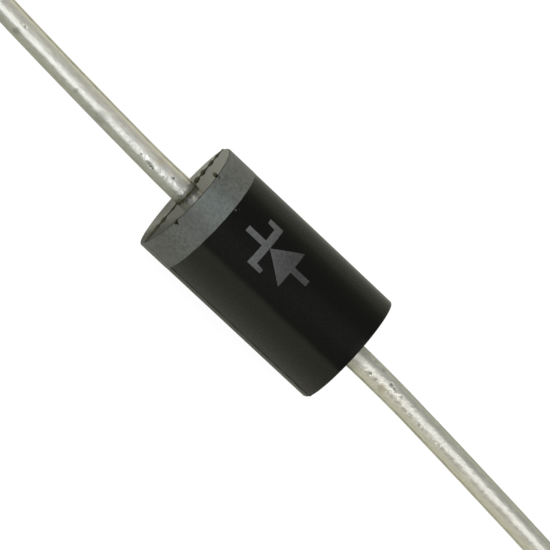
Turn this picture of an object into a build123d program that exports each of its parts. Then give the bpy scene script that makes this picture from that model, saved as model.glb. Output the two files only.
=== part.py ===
"""Axial-lead transient voltage suppressor diode.

A silicon die is soldered between the nail heads of two tinned copper leads, its edge is sealed
with a silicone bead, and a black epoxy cylinder is moulded round the lot. A printed band marks
the cathode end.

Millimetres and degrees. X runs along the body from the cathode end to the anode end, the mould
parts in the horizontal plane through the leads, and the body lies on z = 0.
"""

from build123d import *
import os
from math import cos, radians, sqrt, tan

# Moulded body
body_diameter = 5.05
body_length = 9.0  # from ridge to ridge of the two end faces
end_draft = 2.5  # lean of each half of an end face, away from the parting plane
rim_radius = 0.08

# Flash left along the parting line
flash_height = 0.03
flash_thickness = 0.05
# Torn bits of it on the cathode end face: place along the ridge, length at the root, height
torn_bits = (
    (-1.94, 0.26, 0.05),
    (-1.35, 0.34, 0.06),
    (0.76, 0.38, 0.12),
    (1.26, 0.3, 0.08),
    (1.72, 0.34, 0.07),
    (2.12, 0.2, 0.05),
)
torn_thickness = 0.1
torn_taper = 0.6  # share of its length that a bit keeps at its tip

# Two pits in the rim of the cathode end, by their angle from the top
pit_diameter = 0.15
pit_angles = (42.0, -15.0)

# Cathode band
band_width = 1.43  # measured from the ridge of the end face
ink_thickness = 0.03

# Leads
lead_diameter = 1.016
lead_length = 26.0  # along the wire, from the end face to the cut end
exit_diameter = 1.06  # the wire is a little thicker in the body and where it comes out
cut_edge = 0.05  # break on the edge of the cut end
exit_bend_radius = 60.0
droop_radius = 80.0
droop_angle = 3.0  # both leads sag a little at last, so that the body settles mark upwards
cathode_lead_offset = 0.12  # sideways from the body's axis
cathode_exit_angle = 2.25
cathode_bow_radius = 277.0
cathode_bow_angle = 1.75
anode_lead_offset = 0.01
anode_exit_angle = 3.37
anode_bow_radius = 364.0
anode_bow_angle = 1.8

# Nail heads, inside the body
head_diameter = 2.2
head_thickness = 0.45
head_neck_length = 0.35

# Silicon die, its solder and its edge coating
die_side = 2.5
die_thickness = 0.27
mesa_step = 0.1  # how far the anode face stands in from each side of the die
mesa_height = 0.09
solder_thickness = 0.06
solder_flare = 0.04
coating_cover = 0.15  # over the corners of the die
coating_half_width = 0.45  # where the bead ends on the rims of the nail heads
coating_crown = 0.4  # width of the bead at its full radius

# Worked out from the sizes above
body_radius = body_diameter / 2
inked_radius = body_radius + ink_thickness
axis_height = inked_radius
end_x = body_length / 2
lead_radius = lead_diameter / 2
exit_radius = exit_diameter / 2
head_radius = head_diameter / 2
head_x = die_thickness / 2 + solder_thickness
die_offset = (cathode_lead_offset + anode_lead_offset) / 2
coating_radius = die_side / sqrt(2) + coating_cover
parting_plane = Plane.XY.offset(axis_height)

os.makedirs("parts", exist_ok=True)


def make_draft_wedge(half_length):
    """The room one mould half leaves along X: end faces that lean inwards from the parting plane."""
    corner = half_length - body_diameter * tan(radians(end_draft))
    with BuildPart() as wedge:
        with BuildSketch(Plane.XZ):
            with BuildLine():
                Polyline(
                    (half_length, axis_height),
                    (corner, axis_height + body_diameter),
                    (-corner, axis_height + body_diameter),
                    (-half_length, axis_height),
                    close=True,
                )
            make_face()
        extrude(amount=body_diameter, both=True)
    return wedge


def make_lead(side, offset, exit_angle, bow_radius, bow_angle):
    """One lead, from its nail head outwards. side is -1 for the cathode end and 1 for the anode."""
    level = Plane(origin=(0, offset, axis_height), x_dir=(side, 0, 0), z_dir=(0, 0, 1))
    with BuildLine(level) as level_run:
        exit_arc = JernArc((end_x, 0), (1, 0), exit_bend_radius, -exit_angle)
        bow = JernArc(exit_arc @ 1, exit_arc % 1, bow_radius, -bow_angle)
    heading = bow % 1
    with BuildLine(Plane(origin=bow @ 1, x_dir=heading, z_dir=heading.cross(Vector(0, 0, 1)))) as end_run:
        droop = JernArc((0, 0), (1, 0), droop_radius, -droop_angle)
        straight = lead_length - exit_arc.length - bow.length - droop.length
        PolarLine(droop @ 1, straight, direction=droop % 1)

    with BuildPart() as lead:
        # Nail head, neck and the thicker wire as far as the end face
        with BuildSketch(level):
            with BuildLine():
                Polyline(
                    (head_x, 0),
                    (head_x, head_radius),
                    (head_x + head_thickness, head_radius),
                    (head_x + head_thickness + head_neck_length, exit_radius),
                    (end_x, exit_radius),
                    (end_x, 0),
                    close=True,
                )
            make_face()
        revolve(axis=Axis((0, offset, axis_height), (side, 0, 0)))
        # The wire tapers to its own size over the bend at the exit
        with BuildSketch(Plane(origin=exit_arc @ 0, z_dir=exit_arc % 0)):
            Circle(exit_radius)
        with BuildSketch(Plane(origin=exit_arc @ 1, z_dir=exit_arc % 1)):
            Circle(lead_radius)
        loft()
        # The bowed run, the droop and the straight end
        with BuildSketch(Plane(origin=bow @ 0, z_dir=bow % 0)):
            Circle(lead_radius)
        sweep(path=Wire([bow.edge(), *end_run.edges()]))
        cut_end = lead.faces().sort_by(Axis.X)[-1 if side > 0 else 0]
        chamfer(cut_end.edges(), cut_edge)
    return lead


# Leads
cathode_lead = make_lead(
    -1, cathode_lead_offset, cathode_exit_angle, cathode_bow_radius, cathode_bow_angle
)
anode_lead = make_lead(1, anode_lead_offset, anode_exit_angle, anode_bow_radius, anode_bow_angle)

# Silicon die, with its junction in the mesa on the anode side
with BuildPart() as silicon_die:
    mesa_x = die_thickness / 2 - mesa_height
    with BuildSketch(Plane.YZ.offset(-die_thickness / 2)):
        with Locations((die_offset, axis_height)):
            Rectangle(die_side, die_side)
    extrude(amount=die_thickness - mesa_height)
    for x, side_length in ((mesa_x, die_side), (die_thickness / 2, die_side - 2 * mesa_step)):
        with BuildSketch(Plane.YZ.offset(x)):
            with Locations((die_offset, axis_height)):
                Rectangle(side_length, side_length)
    loft()


def make_solder(side, offset):
    """Solder between a nail head and the die, wider at the die where it has wetted it."""
    with BuildPart() as solder:
        for x, radius in ((head_x, head_radius), (die_thickness / 2, head_radius + solder_flare)):
            with BuildSketch(Plane.YZ.offset(side * x)):
                with Locations((offset, axis_height)):
                    Circle(radius)
        loft()
    return solder


cathode_solder = make_solder(-1, cathode_lead_offset)
anode_solder = make_solder(1, anode_lead_offset)

# Silicone bead over the edge of the die, from one nail head to the other
with BuildPart() as junction_coating:
    with BuildSketch(parting_plane):
        with BuildLine():
            Polyline(
                (-coating_half_width, die_offset),
                (-coating_half_width, die_offset + head_radius),
                (-coating_crown / 2, die_offset + coating_radius),
                (coating_crown / 2, die_offset + coating_radius),
                (coating_half_width, die_offset + head_radius),
                (coating_half_width, die_offset),
                close=True,
            )
        make_face()
    revolve(axis=Axis((0, die_offset, axis_height), (1, 0, 0)))
    for inner in (cathode_lead, anode_lead, silicon_die, cathode_solder, anode_solder):
        add(inner.part, mode=Mode.SUBTRACT)

body_wedge = make_draft_wedge(end_x)
band_wedge = make_draft_wedge(end_x - rim_radius)

# Moulded body: the upper mould half with its rims rounded, and the lower one as its mirror image
with BuildPart() as moulded_body:
    with BuildSketch(Plane.YZ.offset(-end_x)):
        with BuildLine():
            CenterArc((0, axis_height), body_radius, 0, 180)
            Line((-body_radius, axis_height), (body_radius, axis_height))
        make_face()
    extrude(amount=body_length)
    add(body_wedge.part, mode=Mode.INTERSECT)
    rims = moulded_body.edges().filter_by(GeomType.ELLIPSE)
    fillet(rims, rim_radius)
    mirror(about=parting_plane)
    # Hair of flash all round in the parting plane
    with BuildSketch(Plane.XY.offset(axis_height - flash_thickness / 2)):
        RectangleRounded(
            body_length + 2 * flash_height,
            body_diameter + 2 * flash_height,
            rim_radius + flash_height,
        )
    extrude(amount=flash_thickness)
    # Torn bits of flash on the cathode end face
    for place, length, height in torn_bits:
        with BuildSketch(Plane.XY.offset(axis_height - torn_thickness / 2)):
            with BuildLine():
                Polyline(
                    (-end_x + height, place - length / 2),
                    (-end_x, place - length / 2),
                    (-end_x - height, place - torn_taper * length / 2),
                    (-end_x - height, place + torn_taper * length / 2),
                    (-end_x, place + length / 2),
                    (-end_x + height, place + length / 2),
                    close=True,
                )
            make_face()
        extrude(amount=torn_thickness)
    # Pits in the rim of the cathode end, where the end face has leaned in by that height
    for angle in pit_angles:
        lean = body_radius * cos(radians(angle)) * tan(radians(end_draft))
        with Locations(Location((0, 0, axis_height), (angle, 0, 0))):
            with Locations((lean - end_x, 0, body_radius)):
                Sphere(pit_diameter / 2, mode=Mode.SUBTRACT)
    for inner in (
        cathode_lead,
        anode_lead,
        silicon_die,
        cathode_solder,
        anode_solder,
        junction_coating,
    ):
        add(inner.part, mode=Mode.SUBTRACT)

# Ink band on the cathode end, from the edge of the rim inwards, and over the flash
with BuildPart() as cathode_band:
    with BuildSketch(Plane.YZ.offset(-end_x)):
        with BuildLine():
            CenterArc((0, axis_height), inked_radius, 0, 180)
            Line((-inked_radius, axis_height), (inked_radius, axis_height))
        make_face()
    extrude(amount=band_width)
    with BuildSketch(parting_plane):
        with Locations((-end_x + band_width / 2, 0)):
            Rectangle(band_width, 2 * (inked_radius + flash_height))
    extrude(amount=flash_thickness / 2 + ink_thickness)
    add(band_wedge.part, mode=Mode.INTERSECT)
    mirror(about=parting_plane)
    with BuildSketch(Plane.YZ.offset(-end_x)):
        with Locations((0, axis_height)):
            Circle(body_radius)
    extrude(amount=body_length, mode=Mode.SUBTRACT)
    add(moulded_body.part, mode=Mode.SUBTRACT)

moulded_body.part.label = "moulded_body"
cathode_band.part.label = "cathode_band"
cathode_lead.part.label = "cathode_lead"
anode_lead.part.label = "anode_lead"
silicon_die.part.label = "silicon_die"
cathode_solder.part.label = "cathode_solder"
anode_solder.part.label = "anode_solder"
junction_coating.part.label = "junction_coating"

export_step(moulded_body.part, "parts/moulded_body.step")
export_step(cathode_band.part, "parts/cathode_band.step")
export_step(cathode_lead.part, "parts/cathode_lead.step")
export_step(anode_lead.part, "parts/anode_lead.step")
export_step(silicon_die.part, "parts/silicon_die.step")
export_step(cathode_solder.part, "parts/cathode_solder.step")
export_step(anode_solder.part, "parts/anode_solder.step")
export_step(junction_coating.part, "parts/junction_coating.step")
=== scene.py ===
"""Looks of the axial surge suppressor diode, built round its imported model.

The scene is in metres and in the model's frame: X along the body from the cathode end to the
anode end, +Z up, the body lying on z = 0. The diode's tables and the shaders give lengths in
millimetres, the stage and the lamps give them in metres.
"""

import math

import bmesh
import bpy
from mathutils import Matrix, Quaternion, Vector, noise


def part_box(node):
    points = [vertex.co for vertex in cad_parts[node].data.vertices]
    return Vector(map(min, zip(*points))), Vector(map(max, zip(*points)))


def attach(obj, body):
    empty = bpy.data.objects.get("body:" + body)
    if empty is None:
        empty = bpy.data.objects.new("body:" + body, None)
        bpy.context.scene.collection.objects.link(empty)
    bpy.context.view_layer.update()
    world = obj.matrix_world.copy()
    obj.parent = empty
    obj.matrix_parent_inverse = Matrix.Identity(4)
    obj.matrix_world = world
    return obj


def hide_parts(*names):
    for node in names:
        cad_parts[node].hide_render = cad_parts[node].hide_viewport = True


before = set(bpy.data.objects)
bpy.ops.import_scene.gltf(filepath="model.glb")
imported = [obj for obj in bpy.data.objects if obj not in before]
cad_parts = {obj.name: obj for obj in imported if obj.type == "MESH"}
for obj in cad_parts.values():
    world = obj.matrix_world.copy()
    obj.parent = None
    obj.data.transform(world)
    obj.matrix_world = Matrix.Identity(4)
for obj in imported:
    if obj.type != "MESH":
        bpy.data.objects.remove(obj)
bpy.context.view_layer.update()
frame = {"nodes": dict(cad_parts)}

MM = 0.001

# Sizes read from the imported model
body_low, body_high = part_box("moulded_body")
band_low, band_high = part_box("cathode_band")
AXIS_HEIGHT = (band_low.z + band_high.z) / 2
BODY_RADIUS = (body_high.z - body_low.z) / 2
FLASH_HEIGHT = body_high.y - BODY_RADIUS
END_X = body_high.x - FLASH_HEIGHT
BAND_EDGE_X = band_high.x
RIM_RADIUS = END_X + band_low.x
HEAD_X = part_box("anode_lead")[0].x

# Moulded body
END_DRAFT = math.radians(2.5)
SWELL = 0.0087  # the cathode end is a hair thicker than the anode end
FLASH_HALF_THICKNESS = 0.025 * MM
# Ragged height of the hair of flash: its mean and least shares, and its waves by size and rate
FLASH_MEAN = 0.55
FLASH_LEAST = 0.15
FLASH_WAVES = ((0.45, 4000), (0.35, 14000))
PIT_RADIUS = 0.085 * MM
PIT_ANGLES = (42.0, -15.0)  # degrees from the top, towards -Y
# Crumbs on the cathode end face: angle, depth below the rim, half width, half height, height
CRUMBS = ((-21.0, 0.36, 0.075, 0.085, 0.115), (42.0, 0.03, 0.055, 0.050, 0.022))

# Torn bits of flash along the ridge of the cathode end: place along Y, length, height
TORN_BITS = (
    (-1.94, 0.26, 0.05),
    (-1.35, 0.34, 0.06),
    (0.76, 0.38, 0.12),
    (1.26, 0.30, 0.08),
    (1.72, 0.34, 0.07),
    (2.12, 0.20, 0.05),
)
# The rest of the ridge is a low ragged line, on both sides of the lead: from, to, height
TORN_LINES = ((-2.46, -1.55, 0.058), (-1.60, -0.44, 0.036), (0.68, 2.27, 0.036))
TORN_BIT_REACH = 0.62  # half of a bit, as a share of its length
TORN_BIT_RISE = 1.05  # its top, as a share of its height
TORN_ROOT = 0.007  # half thickness of the torn flash at no height
TORN_SPREAD = 0.42  # what its height adds to that
TORN_SHIFT = 0.016 * MM  # how far it strays from the parting plane
# Torn flash round the leads. Its section is in shares of its width and of its height
COLLAR_HEIGHT = 0.07 * MM
COLLAR_WIDTH = 0.048 * MM
COLLAR_SECTION = ((-0.3, 0.6), (-0.3, -0.5), (0.6, -0.5), (1.0, 0.0), (0.7, 0.45), (0.15, 0.9))

# Detail of the meshes. The body's angles are in degrees from the parting line
NEAR_ANGLES = (0, 0.12, 0.25, 0.4, 0.6, 0.85, 1.2, 1.7, 2.3)
FIRST_WIDE_ANGLE = 3.0
WIDE_ANGLES = 116  # from there to the top
CATHODE_FACE_RINGS = 46
ANODE_FACE_RINGS = 18
RIM_ZONE = 0.15 * MM  # finer rings next to the rim
RIM_ZONE_RINGS = 7
RIM_STEPS = 8
PIT_RINGS = 6  # behind the cathode rim, for the pits
PIT_RING_GAP = 0.02 * MM
SIDE_STEPS = 30
TORN_STEP = 0.02  # along a torn line, in millimetres
TORN_CORNERS = 12
COLLAR_STEPS = 72
CRUMB_RINGS = 9
CRUMB_CORNERS = 10
BAND_EDGE_RINGS = 8
BAND_RINGS = 12
STROKE_ROWS = 6
BAR_ROWS = 40
TRIANGLE_ROWS = 48
FLECK_ROWS = 6
WIRE_SIDES = 120
WIRE_RING_GAP = 0.06 * MM
BEND_STEP = 0.02 * MM

# Materials that the body's faces wear, by their place in its list
FACE_SLOT = 1
TORN_SLOT = 2
FACE_NORMAL = 0.9  # how much of an end face's normal is along X, at least

# Leads
LEAD_RADIUS = 0.508 * MM
LEAD_LENGTH = 26.0 * MM
EXIT_RADIUS = 0.53 * MM
CUT_EDGE = 0.05 * MM
EXIT_BEND_RADIUS = 60.0 * MM
DROOP_RADIUS = 80.0 * MM
DROOP_ANGLE = math.radians(3.0)
HEAD_RADIUS = 1.1 * MM
HEAD_THICKNESS = 0.45 * MM
HEAD_NECK_LENGTH = 0.35 * MM
HEAD_EDGE = 0.03 * MM
# Faint waves in the wires: their depth, and each one's share of it and rate
WAVE_DEPTH = 0.0035 * MM
WAVES = ((1.0, 1.0), (0.6, 2.7), (0.4, 6.1))
# Of each lead: side, sideways place, angle of the exit bend, radius and angle of the bow
LEADS = {
    "cathode_lead": (-1, 0.12 * MM, math.radians(2.25), 277.0 * MM, math.radians(1.75)),
    "anode_lead": (1, 0.01 * MM, math.radians(3.37), 364.0 * MM, math.radians(1.8)),
}

# Ink of the band
INK_FILM = 0.008 * MM  # what shows of it over the thicker end of the body
# Gaps in it where the pits are: angle, reach from the rim, half width
INK_GAPS = ((42.0, 0.17, 0.055), (-15.0, 0.03, 0.06))

# Cavity round the junction coating
COATING_HALF_WIDTH = 0.45 * MM
COATING_HALF_CROWN = 0.2 * MM
COATING_RADIUS = 1.918 * MM

# Printed diode symbol
MARK_CENTRE_X = -0.56 * MM
MARK_ANGLE = math.radians(1.8)  # from the top, towards -Y
MARK_THICKNESS = 0.010 * MM
# Flecks of ink beside the band: place along X, along the girth, half size
FLECKS = ((-2.99, 0.19, 0.050), (-2.90, 0.31, 0.018))

# Camera, set to the photograph's view of the body's centre
CAMERA_AZIMUTH = math.radians(-27.18)
CAMERA_ELEVATION = math.radians(67.94)
CAMERA_ROLL = math.radians(68.62)
CAMERA_DISTANCE = 331 * MM
CAMERA_LENS = 552.2  # in millimetres, like the sensor
SENSOR_WIDTH = 36.0
NEAREST_SEEN = 0.01
FARTHEST_SEEN = 10.0
AIM_RIGHT = 0.339 * MM
AIM_UP = -0.079 * MM

# Notches in the wires: lead, reach from the end face, angle from the top towards -Y on the
# cathode lead and +Y on the anode lead, half length, half width in degrees, depth
NOTCHES = (
    ("cathode_lead", 1.92, 40, 0.07, 7, 0.030),
    ("cathode_lead", 1.78, 44, 0.10, 8, 0.035),
    ("cathode_lead", 0.83, 8, 0.06, 6, 0.030),
    ("cathode_lead", 9.17, 9, 0.06, 7, 0.030),
    ("anode_lead", 1.20, -30, 0.05, 6, 0.030),
    ("anode_lead", 2.11, 4, 0.07, 8, 0.035),
    ("anode_lead", 2.33, 0, 0.10, 6, 0.025),
    ("anode_lead", 2.74, -5, 0.06, 6, 0.025),
)
# Darker spots on the wires, eight of them in the notches: lead, reach, angle, radius, strength
DARK_SPOTS = (
    ("cathode_lead", 1.92, 40, 0.06, 0.9),
    ("cathode_lead", 1.80, 44, 0.07, 0.9),
    ("cathode_lead", 1.68, 41, 0.05, 0.8),
    ("cathode_lead", 0.83, 8, 0.055, 0.9),
    ("cathode_lead", 1.17, 39, 0.04, 0.5),
    ("cathode_lead", 2.41, 33, 0.05, 0.6),
    ("cathode_lead", 3.08, 31, 0.04, 0.5),
    ("cathode_lead", 4.56, 50, 0.30, 0.30),
    ("cathode_lead", 5.98, 45, 0.10, 0.4),
    ("cathode_lead", 9.17, 9, 0.06, 0.8),
    ("cathode_lead", 9.29, 55, 0.16, 0.5),
    ("anode_lead", 1.20, -30, 0.05, 0.9),
    ("anode_lead", 2.11, 4, 0.06, 0.9),
    ("anode_lead", 2.33, 0, 0.06, 0.7),
    ("anode_lead", 2.74, -5, 0.05, 0.7),
    ("anode_lead", 1.50, 26, 0.10, 0.4),
    ("anode_lead", 1.05, 30, 0.06, 0.5),
    ("anode_lead", 3.27, -38, 0.05, 0.5),
    ("anode_lead", 4.02, -34, 0.05, 0.5),
)
# Brownish smudges: lead, reach, angle, radius, strength
SMUDGES = (
    ("cathode_lead", 1.65, -3, 0.17, 0.6),
    ("anode_lead", 1.95, -41, 0.18, 0.7),
)
# Rubbed bright spots: lead, reach, angle, radius, strength
RUBBED = (
    ("cathode_lead", 2.13, 24, 0.13, 0.8),
    ("cathode_lead", 0.75, 17, 0.14, 0.7),
    ("anode_lead", 2.28, -14, 0.12, 1.0),
    ("anode_lead", 2.52, -12, 0.11, 0.9),
)
MARK_RAGGEDNESS = 0.16  # how far the edges of all these wander
# Film on the first bit of each wire: a real film of compound on the anode lead, painted shade on
# the cathode lead, where the dark end face shows mirrored in the wire. Its length, how much longer
# it is on the +Y side, and its strength
FILMS_AND_SHADE = {"cathode_lead": (0.17, 0.04, 0.72), "anode_lead": (0.70, 0.0, 0.33)}
# Relief that breaks up the highlights: near the body, and farther along
RIPPLES = {"cathode_lead": (6.0, 4.0), "anode_lead": (11.0, 7.0)}
# Painted shade: dark lines along the wires, where their surface faces an angle: lead, angle from
# the top towards -Y, half width, strength
PAINTED_SHADE_LINES = (
    ("cathode_lead", -42.0, 0.06, 0.85),
    ("anode_lead", 83.0, 0.06, 0.85),
    ("anode_lead", 35.0, 0.14, 0.40),
)

# Colours. Where there are two of them, the material varies between them
EPOXY = ((0.0025, 0.0025, 0.0016), (0.0038, 0.0038, 0.0026))
PAINTED_SHEEN = ((0.0200, 0.0197, 0.0155), (0.0350, 0.0345, 0.0282))  # painted sheen, the bright floor's reflection painted into the colour: fainter and stronger
TORN_EPOXY = ((0.052, 0.049, 0.029), (0.125, 0.119, 0.074))
BAND_INK = ((0.071, 0.074, 0.066), (0.107, 0.110, 0.099))
# Lighter, cooler ink: in random clouds, and as a painted highlight along the band
COOL_INK_AND_HIGHLIGHT = ((0.100, 0.119, 0.110), (0.136, 0.158, 0.148))
DARKER_BAND_INK = (0.046, 0.048, 0.046)
MARK_INK = ((0.062, 0.064, 0.063), (0.090, 0.092, 0.091))
THIN_MARK_INK = ((0.018, 0.019, 0.017), (0.034, 0.035, 0.033))
# Painted light on the wires: lighter, warmer tin on one side of each wire, greyer, darker tin on
# the other
SHADED_SIDE_TIN = ((0.42, 0.428, 0.385), (0.52, 0.523, 0.475))
LIT_SIDE_TIN = ((0.62, 0.605, 0.525), (0.71, 0.693, 0.60))
# Painted shade of the dark lines along the wires
SHADE_LINE_TIN = (0.24, 0.22, 0.17)
SMUDGED_TIN = (0.46, 0.41, 0.30)
# Film on the anode lead, painted shade at the foot of the cathode lead
FILM_AND_SHADE_TIN = (0.12, 0.12, 0.105)
DARK_SPOT_TIN = (0.16, 0.17, 0.14)
SILICON = ((0.14, 0.15, 0.18), (0.18, 0.19, 0.22))
SILICONE = ((0.70, 0.68, 0.63), (0.80, 0.78, 0.73))
SOLDER = ((0.45, 0.45, 0.44), (0.55, 0.55, 0.54))

# Places along Y where the painted sheen on the flanks, and the dull finish of the end face, start
# and where they are full, in millimetres
NEAR_PAINTED_SHEEN = (-1.50, -1.78)
FAR_PAINTED_SHEEN = (1.10, 1.68)
DULL_FACE = (-0.9, -2.1)
# The same along X, for the thin ink of the mark and of the flecks
MARK_THINS = (-1.9, 0.3)
FLECKS_THIN = (-2.6, -2.8)
# Patches of the band: the middle along Y, reach and core on either side of it, strength
# A painted highlight along the band, lighter and cooler
PAINTED_HIGHLIGHT_PATCH = (-0.30, 0.95, 0.1, 0.70)
# A darker strip along the band
DARKER_BAND_STRIP = (-1.32, 0.50, 0.0, 0.35)

# Light. Floor and room have colours of their own for the camera, which sees them white
ROOM_LIGHT = 0.55
HORIZON_LIGHT = (0.72, 1.0)  # towards -Y and towards +Y
HORIZON_TOP = 0.60  # how high up its light reaches, as the sine of the elevation
FLOOR_HALF_SIDE = 2.0
FLOOR_SEEN_GLOW = 0.92
FLOOR_SEEN_PAINT = (0.16, 0.16, 0.16)
FLOOR_MIRROR_GLOW = 0.04
FLOOR_PAINT = (0.62, 0.62, 0.53)  # as light and reflections meet it
WHITE = (1.0, 1.0, 1.0)
WARM_WHITE = (1.0, 1.0, 0.84)
COOL_WHITE = (0.95, 0.965, 1.0)
BLUE_WHITE = (0.85, 0.885, 1.0)
# Lamps: name, direction, distance, width along X, length round X, power, colour
LAMPS = (
    ("left_softbox", (-0.45, 0.0, 0.89), 0.40, 0.16, 0.16, 0.25, WHITE),
    ("right_softbox", (0.72, 0.10, 0.69), 0.40, 0.16, 0.16, 0.25, WHITE),
    ("left_strip", (-0.07, -0.586, 0.807), 0.10, 0.017, 0.084, 0.0215, COOL_WHITE),
    ("right_strip", (0.35, -0.060, 0.934), 0.10, 0.016, 0.066, 0.0073, BLUE_WHITE),
)


# Mesh helpers
def mix(a, b, share):
    return a + (b - a) * share


def wobble(size, place):
    """Smooth noise at a place, up to size either way."""
    return size * noise.noise(Vector(place))


def spread(start, stop, count):
    """count places from start to stop, without stop itself."""
    return [mix(start, stop, i / count) for i in range(count)]


def ring_faces(ring_count, point_count, joined):
    """Faces between neighbouring rings; joined also links the last ring to the first."""
    faces = []
    for here in range(ring_count if joined else ring_count - 1):
        there = (here + 1) % ring_count
        for i in range(point_count):
            j = (i + 1) % point_count
            faces.append(
                (
                    here * point_count + i,
                    here * point_count + j,
                    there * point_count + j,
                    there * point_count + i,
                )
            )
    if not joined:
        faces.append(tuple(range(point_count)))
        faces.append(tuple((ring_count - 1) * point_count + i for i in range(point_count)))
    return faces


def make_piece(name, points, faces, sharp_angle=30.0):
    """A smooth-shaded mesh object with outward normals that rides on the body."""
    mesh = bpy.data.meshes.new(name)
    mesh.from_pydata(points, [], faces)
    shell = bmesh.new()
    shell.from_mesh(mesh)
    bmesh.ops.recalc_face_normals(shell, faces=shell.faces)
    shell.to_mesh(mesh)
    shell.free()
    mesh.shade_smooth()
    mesh.set_sharp_from_angle(angle=math.radians(sharp_angle))
    piece = bpy.data.objects.new(name, mesh)
    bpy.context.scene.collection.objects.link(piece)
    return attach(piece, "root")


def swelled(points):
    """Points of the body with its faint taper added."""
    grown = []
    for point in points:
        scale = 1 + SWELL * (END_X - point.x) / (2 * END_X)
        grown.append(Vector((point.x, point.y * scale, mix(AXIS_HEIGHT, point.z, scale))))
    return grown


def add_rings(points, faces, rings, joined=False):
    """Adds one more closed surface to a list of points and faces."""
    start = len(points)
    points.extend(p for ring in rings for p in ring)
    faces.extend(
        tuple(start + i for i in face) for face in ring_faces(len(rings), len(rings[0]), joined)
    )


# Body
def round_point(x, radius, angle, centre_y=0.0):
    """A point at an angle from +Y, on a circle round a line along X at the parting plane."""
    return Vector((x, centre_y + radius * math.cos(angle), AXIS_HEIGHT + radius * math.sin(angle)))


def outward(turn):
    """The direction out of the body at an angle from its top towards -Y."""
    return Vector((0, -math.sin(turn), math.cos(turn)))


def lean_back(rise):
    """How far the end faces lean back at a height above or below the parting plane."""
    return abs(rise) * math.tan(END_DRAFT)


def body_angles():
    """Angles round the body from +Y, closer together at the parting line."""
    near = [math.radians(a) for a in NEAR_ANGLES]
    wide = spread(math.radians(FIRST_WIDE_ANGLE), math.pi / 2, WIDE_ANGLES)
    quarter = near + wide
    half = quarter + [math.pi - a for a in [math.pi / 2] + quarter[:0:-1]]
    return half + [a + math.pi for a in half]


def flash_rise(place, height):
    """How far the hair of flash stands out at a height above the parting plane."""
    share = max(0.0, 1 - (height / FLASH_HALF_THICKNESS) ** 2)
    ragged = FLASH_MEAN
    for size, rate in FLASH_WAVES:
        ragged += wobble(size, place * rate)
    return FLASH_HEIGHT * min(1.0, max(FLASH_LEAST, ragged)) * share


def surface_point(angle, side, radius, back, tilt, centre_y=0.0, lift=0.0):
    """A point of the outer surface. back is how far it lies behind the end face, tilt the angle of
    its normal from the body's axis, and lift how far the point stands off the surface."""
    rise = radius * math.sin(angle)
    place = round_point(side * (END_X - lean_back(rise) - back), radius, angle, centre_y)
    round_x = Vector((0, math.cos(angle), math.sin(angle)))
    normal = Vector((side * math.cos(tilt), 0, 0)) + round_x * math.sin(tilt)
    return place + normal * (lift + flash_rise(place, rise))


def body_ring(angles, side, radius, back, tilt, centre_y=0.0):
    return [surface_point(angle, side, radius, back, tilt, centre_y) for angle in angles]


def rim_point(angle, side, along, lift):
    """A point at a distance along the skin from where the end face starts to round over."""
    arc = RIM_RADIUS * math.pi / 2
    turn = min(along, arc) / RIM_RADIUS
    radius = BODY_RADIUS - RIM_RADIUS * (1 - math.sin(turn))
    back = RIM_RADIUS * (1 - math.cos(turn)) + max(0.0, along - arc)
    return surface_point(angle, side, radius, back, turn, 0.0, lift)


def press_pits(ring):
    """Moves the points of a ring that lie inside a pit of the cathode rim onto the pit's floor."""
    pressed = []
    for point in ring:
        for pit_angle in PIT_ANGLES:
            turn = math.radians(pit_angle)
            lean = lean_back(BODY_RADIUS * math.cos(turn))
            centre = Vector((lean - END_X, 0, AXIS_HEIGHT)) + outward(turn) * BODY_RADIUS
            inward = (Vector((1, 0, 0)) - outward(turn)).normalized()
            offset = point - centre
            along = offset.dot(inward)
            across = (offset - inward * along).length
            if across < PIT_RADIUS and abs(along) < PIT_RADIUS:
                floor = math.sqrt(PIT_RADIUS**2 - across**2)
                point = point + inward * (floor - along)
        pressed.append(point)
    return pressed


def face_rings(angles, side, bore_y, count):
    """Rings of an end face from the bore outwards, and then round its rim."""
    flat_radius = BODY_RADIUS - RIM_RADIUS
    near_rim = 1 - RIM_ZONE / (flat_radius - EXIT_RADIUS)
    shares = spread(0, near_rim, count) + spread(near_rim, 1, RIM_ZONE_RINGS)
    rings = [
        body_ring(angles, side, mix(EXIT_RADIUS, flat_radius, share), 0, 0, bore_y * (1 - share))
        for share in shares
    ]
    for step in range(RIM_STEPS + 1):
        turn = math.pi / 2 * step / RIM_STEPS
        radius = flat_radius + RIM_RADIUS * math.sin(turn)
        rings.append(body_ring(angles, side, radius, RIM_RADIUS * (1 - math.cos(turn)), turn))
    return rings


def cavity_rings(angles):
    """Rings of the inside, from the anode bore to the cathode bore."""
    neck_start = HEAD_X + HEAD_THICKNESS
    cathode_y = LEADS["cathode_lead"][1]
    anode_y = LEADS["anode_lead"][1]
    die_y = (cathode_y + anode_y) / 2
    stations = [
        (neck_start + HEAD_NECK_LENGTH, EXIT_RADIUS, anode_y),
        (neck_start, HEAD_RADIUS, anode_y),
        (COATING_HALF_WIDTH, HEAD_RADIUS, die_y),
        (COATING_HALF_CROWN, COATING_RADIUS, die_y),
        (-COATING_HALF_CROWN, COATING_RADIUS, die_y),
        (-COATING_HALF_WIDTH, HEAD_RADIUS, die_y),
        (-neck_start, HEAD_RADIUS, cathode_y),
        (-neck_start - HEAD_NECK_LENGTH, EXIT_RADIUS, cathode_y),
    ]
    return [[round_point(x, radius, angle, y) for angle in angles] for x, radius, y in stations]


def torn_height(y, line_height):
    """Height of the torn flash at a place along the ridge, in millimetres."""
    tallest = line_height
    for place, length, height in TORN_BITS:
        # Each bit is half an ellipse, longer and a little taller than its solid
        off = abs(y - place) / (length * TORN_BIT_REACH)
        rise = height * TORN_BIT_RISE * math.sqrt(max(0.0, 1 - off * off))
        tallest = max(tallest, rise)
    return tallest


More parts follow.
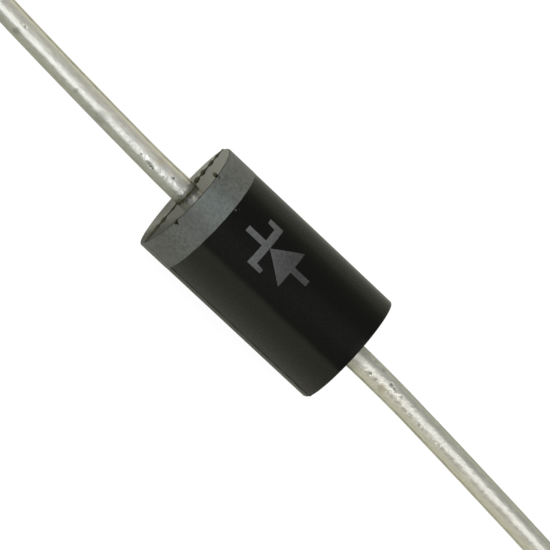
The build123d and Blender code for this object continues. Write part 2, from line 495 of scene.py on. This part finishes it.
def torn_rings(low, high, line_height):
    """Closed rings of a ragged line of torn flash along the ridge of the cathode end."""
    steps = round((high - low) / TORN_STEP)
    rings = []
    for step in range(steps + 1):
        y = mix(low, high, step / steps)
        # The line runs out over its last three steps at either end
        end = min(1.0, (step + 0.4) / 3, (steps - step + 0.4) / 3)
        height = torn_height(y, line_height)
        tall = height * MM * end * (1 + wobble(0.6, (y * 7, 1.3, 0)))
        thick = (TORN_ROOT + TORN_SPREAD * height) * MM * end
        thick *= 1 + wobble(0.5, (2.1, y * 8, 3))
        shift = wobble(TORN_SHIFT, (y * 5, 7, 1))
        ring = []
        for corner in range(TORN_CORNERS):
            turn = math.tau * corner / TORN_CORNERS
            rough = 1 + wobble(0.25, (y * 15, corner * 1.7, 4))
            out = tall * (0.15 + 0.85 * math.cos(turn)) * rough
            up = thick * math.sin(turn) * rough
            ring.append(Vector((-END_X - out, y * MM, AXIS_HEIGHT + shift + up)))
        rings.append(ring)
    return rings


def torn_collar(side, offset):
    """Closed rings of the ragged flash that the mould left round a lead."""
    rings = []
    for step in range(COLLAR_STEPS):
        turn = math.tau * step / COLLAR_STEPS
        spin = Vector((math.cos(turn), math.sin(turn), 0))
        tall = COLLAR_HEIGHT * (0.75 + wobble(0.55, spin * 2.2 + Vector((0, 0, side))))
        wide = COLLAR_WIDTH * (1 + wobble(0.6, spin * 3.1 + Vector((0, 5, side))))
        ring = []
        for out, height in COLLAR_SECTION:
            radius = EXIT_RADIUS + out * wide
            x = side * (END_X - lean_back(radius * math.sin(turn)) + height * tall)
            ring.append(round_point(x, radius, turn, offset))
        rings.append(ring)
    return rings


def crumb_rings(angle, depth, half_width, half_height, height):
    """Closed rings of a small rough crumb that sticks to the cathode end face below its rim."""
    turn = math.radians(angle)
    around = Vector((0, math.cos(turn), math.sin(turn)))
    middle = BODY_RADIUS - depth * MM
    lean = lean_back(middle * math.cos(turn))
    centre = Vector((lean - END_X, 0, AXIS_HEIGHT)) + outward(turn) * middle
    rings = []
    for step in range(CRUMB_RINGS):
        share = step / (CRUMB_RINGS - 1)
        swell = math.sin(math.pi * mix(0.04, 0.96, share))
        up = -math.cos(math.pi * share) * half_height * MM
        ring = []
        for corner in range(CRUMB_CORNERS):
            spin = math.tau * corner / CRUMB_CORNERS
            rough = 1 + wobble(0.35, (step * 0.9, corner * 1.3, angle))
            across = around * (math.cos(spin) * half_width * MM * swell * rough)
            out = Vector((-1, 0, 0)) * (math.sin(spin) * height * MM * swell * rough)
            ring.append(centre + outward(turn) * up + across + out)
        rings.append(ring)
    return rings


def make_body():
    angles = body_angles()
    rings = face_rings(angles, -1, LEADS["cathode_lead"][1], CATHODE_FACE_RINGS)
    for step in range(1, PIT_RINGS + 1):
        back = RIM_RADIUS + PIT_RING_GAP * step
        rings.append(body_ring(angles, -1, BODY_RADIUS, back, math.pi / 2))
    rings = [press_pits(ring) for ring in rings]
    near = rings[-1]
    far = body_ring(angles, 1, BODY_RADIUS, RIM_RADIUS, math.pi / 2)
    for share in spread(1 / SIDE_STEPS, 1, SIDE_STEPS - 1):
        ring = []
        for one, other, angle in zip(near, far, angles):
            place = one.lerp(other, share)
            radius = BODY_RADIUS + flash_rise(place, BODY_RADIUS * math.sin(angle))
            ring.append(round_point(place.x, radius, angle))
        rings.append(ring)
    rings += face_rings(angles, 1, LEADS["anode_lead"][1], ANODE_FACE_RINGS)[::-1]
    rings += cavity_rings(angles)
    points, faces = [], []
    add_rings(points, faces, rings, joined=True)
    grid_faces = len(faces)
    for low, high, height in TORN_LINES:
        add_rings(points, faces, torn_rings(low, high, height))
    for crumb in CRUMBS:
        add_rings(points, faces, crumb_rings(*crumb))
    for side, offset, *_ in LEADS.values():
        add_rings(points, faces, torn_collar(side, offset), joined=True)
    body = make_piece("moulded_body_shell", swelled(points), faces, sharp_angle=40.0)
    face_start = END_X - lean_back(BODY_RADIUS) - FLASH_HEIGHT
    for face in body.data.polygons:
        if face.index >= grid_faces:
            face.material_index = TORN_SLOT
        elif abs(face.normal.x) > FACE_NORMAL and abs(face.center.x) > face_start:
            face.material_index = FACE_SLOT
    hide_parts("moulded_body")
    return body


# Band and printed mark
def band_start(angle):
    """How far along the rim's rounding the ink starts, and farther at a pit."""
    around = Vector((math.cos(angle), math.sin(angle), 0))
    start = 0.052 + wobble(0.016, around * 6) + wobble(0.012, around * 23)
    for pit_angle, reach, half_width in INK_GAPS:
        off = math.remainder(angle - math.radians(90 + pit_angle), math.tau) * BODY_RADIUS / MM
        start += reach * math.exp(-((off / half_width) ** 4))
    return start * MM


def make_band():
    """The ink ring: a thin layer with soft edges, over part of the rim and the hair of flash."""
    angles = body_angles()
    soft_edge = 0.025 * MM
    edge_zone = 0.3 * MM  # finer rings next to the rim
    sunk = 0.006 * MM
    thick = INK_FILM
    rounding = RIM_RADIUS * math.pi / 2
    rows = [(0.0, -sunk), (0.0, 0.35 * thick), (soft_edge, 0.8 * thick), (2 * soft_edge, thick)]
    rows += [(place, thick) for place in spread(3 * soft_edge, edge_zone, BAND_EDGE_RINGS)]
    rings = []
    for along, height in rows:
        rings.append([rim_point(a, -1, band_start(a) + along, height) for a in angles])
    for share in spread(0, 1, BAND_RINGS)[1:] + [1.0]:
        ring = []
        for angle in angles:
            lean = lean_back(BODY_RADIUS * math.sin(angle))
            reach = BAND_EDGE_X + END_X - lean - RIM_RADIUS + rounding - soft_edge
            waver = wobble(0.012 * MM, (math.cos(angle) * 9, math.sin(angle) * 9, 9))
            along = mix(band_start(angle) + edge_zone, reach + waver, share)
            ring.append(rim_point(angle, -1, along, thick))
        rings.append(ring)
    outermost = rings[-1]
    for forward, height in ((soft_edge, 0.6 * thick), (soft_edge, -sunk)):
        ring = []
        for point in outermost:
            inward = Vector((0, -point.y, AXIS_HEIGHT - point.z)).normalized()
            ring.append(point + Vector((forward, 0, 0)) + inward * (thick - height))
        rings.append(ring)
    points, faces = [], []
    add_rings(points, faces, rings, joined=True)
    band = make_piece("cathode_band_ink", swelled(points), faces, sharp_angle=50.0)
    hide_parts("cathode_band")
    return band


def add_ribbon(points, faces, rows):
    """One flat printed patch. Each row is its place along the girth and its span along X."""
    rings = []
    for girth, low, high in rows:
        out = outward(MARK_ANGLE - girth * MM / BODY_RADIUS)
        ring = []
        for x, lift in ((low, -1), (low, 1), (high, 1), (high, -1)):
            waver = wobble(0.009, (x * 3, girth * 14, 5))
            place = Vector((MARK_CENTRE_X + (x + waver) * MM, 0, AXIS_HEIGHT))
            ring.append(place + out * (BODY_RADIUS + lift * MARK_THICKNESS))
        rings.append(ring)
    add_rings(points, faces, rings)


def make_mark():
    """A plain circuit symbol of a breakdown diode, with its bar towards the band, and flecks."""
    # From the mark's centre: widths and reaches along the girth, the other sizes along X
    stroke = 0.13
    end = 1.62
    bar_low = -0.74
    bar_high = -0.42
    bar_reach = 0.98
    hook = 0.36
    hook_width = 0.22
    base = 0.82
    base_reach = 0.86
    corner = 0.02
    points, faces = [], []
    # The two wires of the symbol
    for low, high in ((-end, bar_low), (base, end)):
        places = spread(-stroke, stroke, STROKE_ROWS) + [stroke]
        add_ribbon(points, faces, [(girth, low, high) for girth in places])
    # Its bar, hooked both ways
    inner = bar_reach - hook_width
    rows = [(g, bar_low, bar_high + hook) for g in spread(-bar_reach, -inner, STROKE_ROWS)]
    rows += [(g, bar_low, bar_high) for g in spread(-inner, inner, BAR_ROWS)]
    places = spread(inner, bar_reach, STROKE_ROWS) + [bar_reach]
    rows += [(g, bar_low - hook, bar_high) for g in places]
    add_ribbon(points, faces, rows)
    # Its triangle
    rows = []
    for girth in spread(-base_reach, base_reach, TRIANGLE_ROWS) + [base_reach]:
        rows.append((girth, mix(bar_high, base - corner, abs(girth) / base_reach), base))
    add_ribbon(points, faces, rows)
    for x, girth, size in FLECKS:
        middle = x - MARK_CENTRE_X / MM
        rows = []
        for row in range(FLECK_ROWS + 1):
            turn = math.pi * row / FLECK_ROWS
            half = size * (0.25 + math.sin(turn)) * 0.8
            rows.append((girth - size * math.cos(turn), middle - half, middle + half))
        add_ribbon(points, faces, rows)
    mark = make_piece("printed_symbol", swelled(points), faces)
    return mark


# Leads
def wire_stations(exit_length):
    """Each ring of a lead: its reach from the end face, and its radius. The nail head is first."""
    head = HEAD_X - END_X
    neck = head + HEAD_THICKNESS
    stations = [
        (head, HEAD_RADIUS - HEAD_EDGE),
        (head, HEAD_RADIUS),
        (neck, HEAD_RADIUS),
        (neck + HEAD_NECK_LENGTH, EXIT_RADIUS),
    ]
    count = round(LEAD_LENGTH / WIRE_RING_GAP)
    for reach in spread(0, LEAD_LENGTH - CUT_EDGE, count) + [LEAD_LENGTH - CUT_EDGE]:
        taper = min(1.0, reach / exit_length)
        stations.append((reach, mix(EXIT_RADIUS, LEAD_RADIUS, taper)))
    stations.append((LEAD_LENGTH, LEAD_RADIUS - CUT_EDGE))
    return stations


def wire_line(side, offset, exit_angle, bow_radius, bow_angle, reaches):
    """Places and headings of the wire's centre line at rising reaches from the end face."""
    exit_length = EXIT_BEND_RADIUS * exit_angle
    bow_end = exit_length + bow_radius * bow_angle
    droop_end = bow_end + DROOP_RADIUS * DROOP_ANGLE
    place = Vector((side * END_X, offset, AXIS_HEIGHT))
    yaw = pitch = reached = 0.0
    line = []
    for reach in reaches:
        if reach <= 0:
            line.append((place + Vector((side * reach, 0, 0)), Vector((side, 0, 0))))
            continue
        steps = max(1, math.ceil((reach - reached) / BEND_STEP))
        step = (reach - reached) / steps
        for i in range(steps):
            middle = reached + (i + 0.5) * step
            bend = 1 / EXIT_BEND_RADIUS if middle < exit_length else 1 / bow_radius
            yaw += step * bend / 2 if middle < bow_end else 0
            pitch += step / DROOP_RADIUS / 2 if bow_end < middle < droop_end else 0
            level = side * math.cos(pitch)
            heading = Vector((level * math.cos(yaw), -level * math.sin(yaw), -math.sin(pitch)))
            place = place + heading * step
            yaw += step * bend / 2 if middle < bow_end else 0
            pitch += step / DROOP_RADIUS / 2 if bow_end < middle < droop_end else 0
        reached = reach
        line.append((place.copy(), heading))
    return line


def wire_depth(name, reach, turn):
    """How far the wire's surface lies inside its nominal radius: faint waves, and the notches."""
    at = Vector((reach / MM * 1.3, math.cos(turn) * 1.5, math.sin(turn) * 1.5 + len(name)))
    depth = WAVE_DEPTH * sum(wobble(share, at * rate) for share, rate in WAVES)
    for owner, along, angle, length, width, deep in NOTCHES:
        if owner == name:
            far = (reach / MM - along) / length
            off = math.remainder(math.degrees(turn) - angle, 360) / width
            depth += deep * MM * math.exp(-far * far - off * off)
    return depth


def out_of_wire(heading, turn):
    """The direction out of a wire that runs along heading, at an angle from its top."""
    sideways = Vector((0, 0, 1)).cross(heading).normalized()
    upward = heading.cross(sideways)
    return upward * math.cos(turn) + sideways * math.sin(turn)


def make_lead(name):
    side, offset, exit_angle, bow_radius, bow_angle = LEADS[name]
    stations = wire_stations(EXIT_BEND_RADIUS * exit_angle)
    line = wire_line(side, offset, exit_angle, bow_radius, bow_angle, [s[0] for s in stations])
    rings = []
    for (reach, radius), (place, heading) in zip(stations, line):
        ring = []
        for i in range(WIRE_SIDES):
            turn = math.tau * i / WIRE_SIDES
            depth = wire_depth(name, reach, turn) if reach > 0 else 0
            ring.append(place + out_of_wire(heading, turn) * (radius - depth))
        rings.append(ring)
    points, faces = [], []
    add_rings(points, faces, rings)
    lead = make_piece(name + "_wire", points, faces, sharp_angle=35.0)
    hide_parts(name)
    return lead


# Shader helpers
def new_material(name, **settings):
    """A node material with the given numbers and colours on its shader's own sockets."""
    material = bpy.data.materials.new(name)
    material.use_nodes = True
    shader = material.node_tree.nodes["Principled BSDF"]
    for socket, value in settings.items():
        shader.inputs[socket.replace("_", " ")].default_value = value
    return material, material.node_tree, shader


def add_node(tree, kind, link=(), **settings):
    """A new node. link is pairs of an input and what goes into it: a socket or a plain value."""
    node = tree.nodes.new(kind)
    for key, value in settings.items():
        setattr(node, key, value)
    for socket, value in link:
        if isinstance(value, bpy.types.NodeSocket):
            tree.links.new(value, node.inputs[socket])
        else:
            node.inputs[socket].default_value = value
    return node


def maths(tree, operation, *values, clamp=False):
    node = add_node(tree, "ShaderNodeMath", list(enumerate(values)), operation=operation)
    node.use_clamp = clamp
    return node.outputs[0]


def split(tree, vector):
    """The three parts of a vector."""
    return add_node(tree, "ShaderNodeSeparateXYZ", [(0, vector)]).outputs


def vector_maths(tree, operation, *values):
    node = add_node(tree, "ShaderNodeVectorMath", list(enumerate(values)), operation=operation)
    return node.outputs["Value" if operation in ("DISTANCE", "DOT_PRODUCT") else "Vector"]


def object_place(tree, scale=(1, 1, 1)):
    """The object's own coordinates in millimetres, stretched by scale."""
    place = add_node(tree, "ShaderNodeTexCoord").outputs["Object"]
    return vector_maths(tree, "MULTIPLY", place, tuple(s / MM for s in scale))


def grain(tree, place, scale, detail=3.0, roughness=0.5):
    """Noise from 0 to 1, with scale grains to a millimetre."""
    node = add_node(
        tree,
        "ShaderNodeTexNoise",
        [("Vector", place), ("Scale", scale), ("Detail", detail), ("Roughness", roughness)],
    )
    return node.outputs["Fac"]


def ramp(tree, value, low, high, to_low=0.0, to_high=1.0):
    """value taken smoothly from low..high to to_low..to_high."""
    link = [("Value", value), ("From Min", low), ("From Max", high)]
    link += [("To Min", to_low), ("To Max", to_high)]
    node = add_node(tree, "ShaderNodeMapRange", link, interpolation_type="SMOOTHSTEP")
    return node.outputs["Result"]


def mix_colours(tree, share, one, other):
    node = add_node(tree, "ShaderNodeMix", data_type="RGBA")
    for index, value in ((0, share), (6, one), (7, other)):
        if isinstance(value, bpy.types.NodeSocket):
            tree.links.new(value, node.inputs[index])
        else:
            node.inputs[index].default_value = value if index == 0 else (*value, 1)
    return node.outputs[2]


def add_bump(tree, shader, height, depth):
    """height from 0 to 1 stands for a relief of depth metres."""
    link = [("Height", height), ("Distance", depth), ("Strength", 1.0)]
    bump = add_node(tree, "ShaderNodeBump", link)
    tree.links.new(bump.outputs["Normal"], shader.inputs["Normal"])


def feed(tree, shader, socket, value):
    tree.links.new(value, shader.inputs[socket])


# Materials
def black_mottle(tree, place):
    """The compound's own colour, with the fine grain that it follows."""
    fine = grain(tree, place, 9.0, detail=4.0, roughness=0.6)
    return mix_colours(tree, fine, *EPOXY), fine


def flank_material():
    """Black moulding compound: satin, with a painted sheen on its flanks, the bright floor's
    reflection painted into the colour, and a dull hair of flash.
    """
    material, tree, shader = new_material("black_epoxy", Specular_IOR_Level=0.095)
    place = object_place(tree)
    parts = split(tree, place)
    height = maths(tree, "SUBTRACT", parts[2], AXIS_HEIGHT / MM)
    black, fine = black_mottle(tree, place)
    # The painted sheen reaches up to about 50 degrees, and is strongest a little above the parting
    # line
    wander = maths(tree, "MULTIPLY_ADD", grain(tree, place, 0.55, detail=2.0), 0.14, -0.07)
    near = ramp(tree, maths(tree, "ADD", parts[1], wander), *NEAR_PAINTED_SHEEN)
    far = ramp(tree, parts[1], *FAR_PAINTED_SHEEN, to_high=0.95)
    either = maths(tree, "MAXIMUM", near, far)
    flank = maths(tree, "MULTIPLY", either, ramp(tree, fine, 0.2, 0.8, to_low=0.8, to_high=1.0))
    below_top = ramp(tree, height, 1.75, 0.5)
    above_parting = ramp(tree, height, 0.1, 0.45, to_low=0.35, to_high=1.0)
    sheen_strength = maths(tree, "MULTIPLY", below_top, above_parting)
    painted_sheen = mix_colours(tree, sheen_strength, *PAINTED_SHEEN)
    feed(tree, shader, "Base Color", mix_colours(tree, flank, black, painted_sheen))
    # The hair of flash at the parting line is dull
    hair = ramp(tree, maths(tree, "ABSOLUTE", height), 0.030, 0.018, to_high=0.6)
    satin = ramp(tree, fine, 0.25, 0.75, to_low=0.22, to_high=0.30)
    feed(tree, shader, "Roughness", maths(tree, "ADD", satin, hair))
    add_bump(tree, shader, grain(tree, place, 16.0, detail=3.0, roughness=0.6), 0.0006 * MM)
    return material


def end_face_material():
    """The same compound where it took the polish of the mould, duller towards the -Y side."""
    material, tree, shader = new_material("polished_epoxy", Specular_IOR_Level=0.65)
    place = object_place(tree)
    black, fine = black_mottle(tree, place)
    feed(tree, shader, "Base Color", black)
    dull = ramp(tree, split(tree, place)[1], *DULL_FACE, to_high=0.42)
    polish = ramp(tree, fine, 0.25, 0.75, to_low=0.025, to_high=0.055)
    feed(tree, shader, "Roughness", maths(tree, "ADD", polish, dull))
    add_bump(tree, shader, grain(tree, place, 16.0, detail=3.0, roughness=0.6), 0.0004 * MM)
    return material


def torn_material():
    """Broken flash: rough, with no skin to shine."""
    material, tree, shader = new_material("torn_epoxy", Specular_IOR_Level=0.05, Roughness=0.9)
    place = object_place(tree)
    crumbs = grain(tree, place, 18.0, detail=4.0, roughness=0.7)
    feed(tree, shader, "Base Color", mix_colours(tree, crumbs, *TORN_EPOXY))
    add_bump(tree, shader, crumbs, 0.012 * MM)
    return material


def patch(tree, across, middle, reach, core, strength):
    """How strongly a patch that runs along the body shows at a place across it."""
    off = maths(tree, "ABSOLUTE", maths(tree, "SUBTRACT", across, middle))
    return ramp(tree, off, reach, core, to_high=strength)


def band_material():
    """Grey printing ink over epoxy: mottled, with cooler clouds, and a painted highlight, lighter
    and cooler, just off the top of the body.
    """
    material, tree, shader = new_material("band_ink", Specular_IOR_Level=0.34)
    place = object_place(tree)
    cloud = grain(tree, place, 0.9, detail=3.0)
    fine = grain(tree, place, 7.0, detail=3.0, roughness=0.7)
    mottle = ramp(tree, fine, 0.36, 0.64)
    base = mix_colours(tree, mottle, *BAND_INK)
    cool_and_highlight = mix_colours(tree, mottle, *COOL_INK_AND_HIGHLIGHT)
    across = split(tree, place)[1]
    clouds = ramp(tree, cloud, 0.42, 0.68, to_high=0.25)
    # Painted highlight: the lighter, cooler ink along a strip just off the top, with random clouds
    # of it
    share = maths(tree, "ADD", patch(tree, across, *PAINTED_HIGHLIGHT_PATCH), clouds, clamp=True)
    inked = mix_colours(tree, share, base, cool_and_highlight)
    # Darker along a strip of the band, at Y = -1.32 mm
    darker = patch(tree, across, *DARKER_BAND_STRIP)
    feed(tree, shader, "Base Color", mix_colours(tree, darker, inked, DARKER_BAND_INK))
    feed(tree, shader, "Roughness", ramp(tree, fine, 0.2, 0.8, to_low=0.38, to_high=0.50))
    add_bump(tree, shader, fine, 0.003 * MM)
    return material


def mark_material():
    """The same ink, printed thinner towards the anode end and in the flecks beside the band."""
    material, tree, shader = new_material("mark_ink", Specular_IOR_Level=0.45)
    place = object_place(tree)
    along = split(tree, place)[0]
    fine = grain(tree, place, 8.0, detail=3.0, roughness=0.7)
    mottle = ramp(tree, fine, 0.36, 0.64)
    thick = mix_colours(tree, mottle, *MARK_INK)
    darker = mix_colours(tree, mottle, *THIN_MARK_INK)
    thinning = ramp(tree, along, *MARK_THINS)
    share = maths(tree, "MAXIMUM", thinning, ramp(tree, along, *FLECKS_THIN))
    feed(tree, shader, "Base Color", mix_colours(tree, share, thick, darker))
    feed(tree, shader, "Roughness", ramp(tree, fine, 0.2, 0.8, to_low=0.40, to_high=0.55))
    add_bump(tree, shader, fine, 0.003 * MM)
    return material


def wire_spot(name, reach, angle):
    """A place on a lead's surface, in millimetres."""
    place, heading = wire_line(*LEADS[name], [reach * MM])[0]
    return (place + out_of_wire(heading, math.radians(angle)) * LEAD_RADIUS) / MM


def spotted(tree, place, name, spots):
    """How strongly the spots of a lead mark a place on it."""
    total = None
    for owner, reach, angle, radius, strength in spots:
        if owner != name:
            continue
        far = vector_maths(tree, "DISTANCE", place, wire_spot(name, reach, angle))
        mark = ramp(tree, far, radius * 1.5, radius * 0.4, to_high=strength)
        total = mark if total is None else maths(tree, "MAXIMUM", total, mark)
    return total


def painted_shade_line(tree, normal, cloud, angle, half_width, strength):
    """Painted shade: a dark line along the wire where its surface faces an angle from the top
    towards -Y.
    """
    turn = math.radians(angle)
    beside = vector_maths(tree, "DOT_PRODUCT", normal, (0, -math.cos(turn), -math.sin(turn)))
    faced = vector_maths(tree, "DOT_PRODUCT", normal, outward(turn))
    off = maths(tree, "ABSOLUTE", beside)
    line = ramp(tree, off, half_width * 1.4, half_width * 0.6, to_high=strength)
    faded = maths(tree, "MULTIPLY", line, ramp(tree, cloud, 0.35, 0.55, to_low=0.45, to_high=1.0))
    return maths(tree, "MULTIPLY", faded, ramp(tree, faced, 0.5, 0.8))


def tin_material(name, lead, lit_side):
    """Tinned wire with drawn streaks and darker spots, and painted light: lighter and warmer on one
    side of Y, greyer on the other.
    """
    film_and_shade_length, film_and_shade_slant, film_and_shade_strength = FILMS_AND_SHADE[lead]
    material, tree, shader = new_material(name, Metallic=1.0)
    place = object_place(tree)
    along = object_place(tree, (0.35, 1.6, 1.6))
    cloud = grain(tree, place, 1.4, detail=4.0, roughness=0.6)
    fine = grain(tree, place, 6.5, detail=4.0, roughness=0.7)
    streak = grain(tree, along, 7.0, detail=3.0, roughness=0.6)
    facing = add_node(tree, "ShaderNodeTexCoord").outputs["Normal"]
    facing_y = split(tree, facing)[1]
    # Painted light: the tin turns lighter and warmer towards one side of Y and greyer and darker
    # towards the other, broken up by random clouds
    sideways = maths(tree, "MULTIPLY", facing_y, float(lit_side))
    turned = maths(tree, "MULTIPLY_ADD", cloud, 0.5, maths(tree, "ADD", sideways, -0.25))
    tone = ramp(tree, streak, 0.3, 0.7)
    shaded_tin = mix_colours(tree, tone, *SHADED_SIDE_TIN)
    lit_tin = mix_colours(tree, tone, *LIT_SIDE_TIN)
    clean = mix_colours(tree, ramp(tree, turned, -0.45, 0.15), shaded_tin, lit_tin)
    # Marks with ragged edges, and scattered faint specks
    link = [("Vector", place), ("Scale", 11.0), ("Detail", 2.0)]
    ragged = add_node(tree, "ShaderNodeTexNoise", link).outputs["Color"]
    warped = vector_maths(tree, "MULTIPLY_ADD", ragged, (MARK_RAGGEDNESS,) * 3, place)
    centred = vector_maths(tree, "SUBTRACT", warped, (MARK_RAGGEDNESS / 2,) * 3)
    smudge = spotted(tree, centred, lead, SMUDGES)
    dark_spot = spotted(tree, centred, lead, DARK_SPOTS)
    rubbed = spotted(tree, centred, lead, RUBBED)
    scattered = grain(tree, place, 5.0, detail=2.0, roughness=0.5)
    speck = ramp(tree, scattered, 0.70, 0.80, to_high=0.5)
    dark = maths(tree, "MAXIMUM", dark_spot, speck)
    # A film on the first bit of wire, which on the cathode lead is painted shade, and dark lines of
    # painted shade along the wire
    from_middle = maths(tree, "ABSOLUTE", split(tree, place)[0])
    reach = maths(tree, "SUBTRACT", from_middle, END_X / MM)
    slanted = maths(tree, "MULTIPLY_ADD", facing_y, -film_and_shade_slant, reach)
    edge = maths(tree, "MULTIPLY_ADD", fine, -0.5, maths(tree, "ADD", slanted, 0.25))
    film_and_shade = ramp(tree, edge, film_and_shade_length * 1.4, film_and_shade_length * 0.6, to_high=film_and_shade_strength)
    # Painted shade: dark lines along the wire
    line = 0.0
    for owner, *shade_line in PAINTED_SHADE_LINES:
        if owner == lead:
            line = maths(tree, "MAXIMUM", line, painted_shade_line(tree, facing, cloud, *shade_line))
    shade_lined = mix_colours(tree, line, clean, SHADE_LINE_TIN)
    smudged = mix_colours(tree, smudge, shade_lined, SMUDGED_TIN)
    film_and_shaded = mix_colours(tree, film_and_shade, smudged, FILM_AND_SHADE_TIN)
    feed(tree, shader, "Base Color", mix_colours(tree, dark, film_and_shaded, DARK_SPOT_TIN))
    satin = ramp(tree, streak, 0.2, 0.8, to_low=0.27, to_high=0.34)
    rough = maths(tree, "MULTIPLY_ADD", cloud, 0.12, satin)
    dull = maths(tree, "MAXIMUM", maths(tree, "MAXIMUM", dark, smudge), film_and_shade)
    rougher = maths(tree, "MULTIPLY_ADD", dull, 0.25, rough)
    feed(tree, shader, "Roughness", maths(tree, "MULTIPLY_ADD", rubbed, -0.10, rougher))
    # Fine relief that breaks up the highlights, most of all near the body
    relief = maths(tree, "MULTIPLY_ADD", cloud, 2.0, streak)
    ripple = grain(tree, place, 5.0, detail=1.5, roughness=0.5)
    depth = ramp(tree, reach, 2.5, 6.0, *RIPPLES[lead])
    relief = maths(tree, "MULTIPLY_ADD", ripple, depth, relief)
    add_bump(tree, shader, relief, 0.0022 * MM)
    return material


def inner_material(name, colours, scale, roughness, metallic=0.0):
    """A plain mottled finish for the pieces that are closed inside the body."""
    material, tree, shader = new_material(name, Metallic=metallic)
    mottle = grain(tree, object_place(tree), scale)
    feed(tree, shader, "Base Color", mix_colours(tree, mottle, *colours))
    rough = ramp(tree, mottle, 0.2, 0.8, roughness - 0.08, roughness + 0.08)
    feed(tree, shader, "Roughness", rough)
    add_bump(tree, shader, mottle, 0.004 * MM)
    return material


def dress(piece, *materials):
    """Gives a piece its materials. Its faces keep the numbers of the slots that they wear."""
    slots = piece.data.materials
    for number, material in enumerate(materials):
        if number < len(slots):
            slots[number] = material
        else:
            slots.append(material)


# Stage, lights and camera
def make_floor():
    """A white floor: plain and matt to the object, and shown white with a faint shadow on it."""
    half = FLOOR_HALF_SIDE
    mesh = bpy.data.meshes.new("floor")
    corners = [(-half, -half, 0), (half, -half, 0), (half, half, 0), (-half, half, 0)]
    mesh.from_pydata(corners, [], [(0, 1, 2, 3)])
    floor = bpy.data.objects.new("floor", mesh)
    bpy.context.scene.collection.objects.link(floor)
    material = bpy.data.materials.new("floor_white")
    material.use_nodes = True
    tree = material.node_tree
    tree.nodes.clear()
    rays = add_node(tree, "ShaderNodeLightPath").outputs
    # Camera and see-through rays meet a nearly even white, reflections meet a softer one
    seen = maths(tree, "ADD", rays["Is Camera Ray"], rays["Is Transmission Ray"], clamp=True)
    mirrored = maths(tree, "MULTIPLY", rays["Is Glossy Ray"], FLOOR_MIRROR_GLOW)
    glow = maths(tree, "MULTIPLY_ADD", seen, FLOOR_SEEN_GLOW, mirrored)
    tint = mix_colours(tree, seen, WARM_WHITE, WHITE)
    paint = mix_colours(tree, seen, FLOOR_PAINT, FLOOR_SEEN_PAINT)
    matt = add_node(tree, "ShaderNodeBsdfDiffuse", [("Color", paint)])
    light = add_node(tree, "ShaderNodeEmission", [("Color", tint), ("Strength", glow)])
    both = add_node(tree, "ShaderNodeAddShader", [(0, matt.outputs[0]), (1, light.outputs[0])])
    add_node(tree, "ShaderNodeOutputMaterial", [("Surface", both.outputs[0])])
    mesh.materials.append(material)


def make_world():
    """White behind the object, and a plain room round it, brighter towards the horizon."""
    world = bpy.data.worlds.new("studio")
    world.use_nodes = True
    bpy.context.scene.world = world
    tree = world.node_tree
    tree.nodes.clear()
    rays = add_node(tree, "ShaderNodeLightPath").outputs
    seen = maths(tree, "ADD", rays["Is Camera Ray"], rays["Is Transmission Ray"], clamp=True)
    direction = add_node(tree, "ShaderNodeTexCoord").outputs["Generated"]
    parts = split(tree, direction)
    low = ramp(tree, parts[2], HORIZON_TOP, 0.0)
    side = ramp(tree, parts[1], -0.5, 0.5)
    near, far = [[level * c for c in WARM_WHITE] for level in HORIZON_LIGHT]
    room = mix_colours(tree, low, [ROOM_LIGHT] * 3, mix_colours(tree, side, near, far))
    colour = mix_colours(tree, seen, room, WHITE)
    light = add_node(tree, "ShaderNodeBackground", [("Color", colour)])
    add_node(tree, "ShaderNodeOutputWorld", [("Surface", light.outputs[0])])


def add_lamp(name, direction, distance, width, length, power, colour):
    """A soft rectangular lamp that faces the object from a direction, its width along X."""
    lamp = bpy.data.lights.new(name, "AREA")
    lamp.shape = "RECTANGLE"
    lamp.size = width
    lamp.size_y = length
    lamp.energy = power
    lamp.color = colour
    holder = bpy.data.objects.new(name, lamp)
    bpy.context.scene.collection.objects.link(holder)
    towards = Vector(direction).normalized()
    holder.location = Vector((0, 0, AXIS_HEIGHT)) + towards * distance
    holder.rotation_mode = "QUATERNION"
    across = Vector((1, 0, 0)) - towards * towards.x
    across.normalize()
    turned = Matrix((across, towards.cross(across), towards)).transposed()
    holder.rotation_quaternion = turned.to_quaternion()


def make_camera():
    data = bpy.data.cameras.new("camera")
    data.sensor_width = SENSOR_WIDTH
    data.lens = CAMERA_LENS
    data.clip_start = NEAREST_SEEN
    data.clip_end = FARTHEST_SEEN
    camera = bpy.data.objects.new("camera", data)
    bpy.context.scene.collection.objects.link(camera)
    level = math.cos(CAMERA_ELEVATION)
    x = math.sin(CAMERA_AZIMUTH) * level
    y = -math.cos(CAMERA_AZIMUTH) * level
    back = Vector((x, y, math.sin(CAMERA_ELEVATION)))
    turned = (-back).to_track_quat("-Z", "Y") @ Quaternion((0, 0, 1), CAMERA_ROLL)
    aim = Vector((0, 0, AXIS_HEIGHT)) + turned @ Vector((AIM_RIGHT, AIM_UP, 0))
    camera.rotation_mode = "QUATERNION"
    camera.rotation_quaternion = turned
    camera.location = aim + back * CAMERA_DISTANCE
    bpy.context.scene.camera = camera


make_camera()
make_floor()
make_world()
for lamp in LAMPS:
    add_lamp(*lamp)
bpy.context.scene.view_settings.view_transform = "Standard"

dress(make_body(), flank_material(), end_face_material(), torn_material())
dress(make_band(), band_material())
dress(make_mark(), mark_material())
for name in LEADS:
    dress(make_lead(name), tin_material(name + "_tin", name, -LEADS[name][0]))

inner = frame["nodes"]
dress(inner["silicon_die"], inner_material("silicon", SILICON, 3.0, 0.20))
dress(inner["junction_coating"], inner_material("silicone", SILICONE, 2.0, 0.60))
solder = inner_material("solder", SOLDER, 6.0, 0.40, metallic=1.0)
dress(inner["cathode_solder"], solder)
dress(inner["anode_solder"], solder)
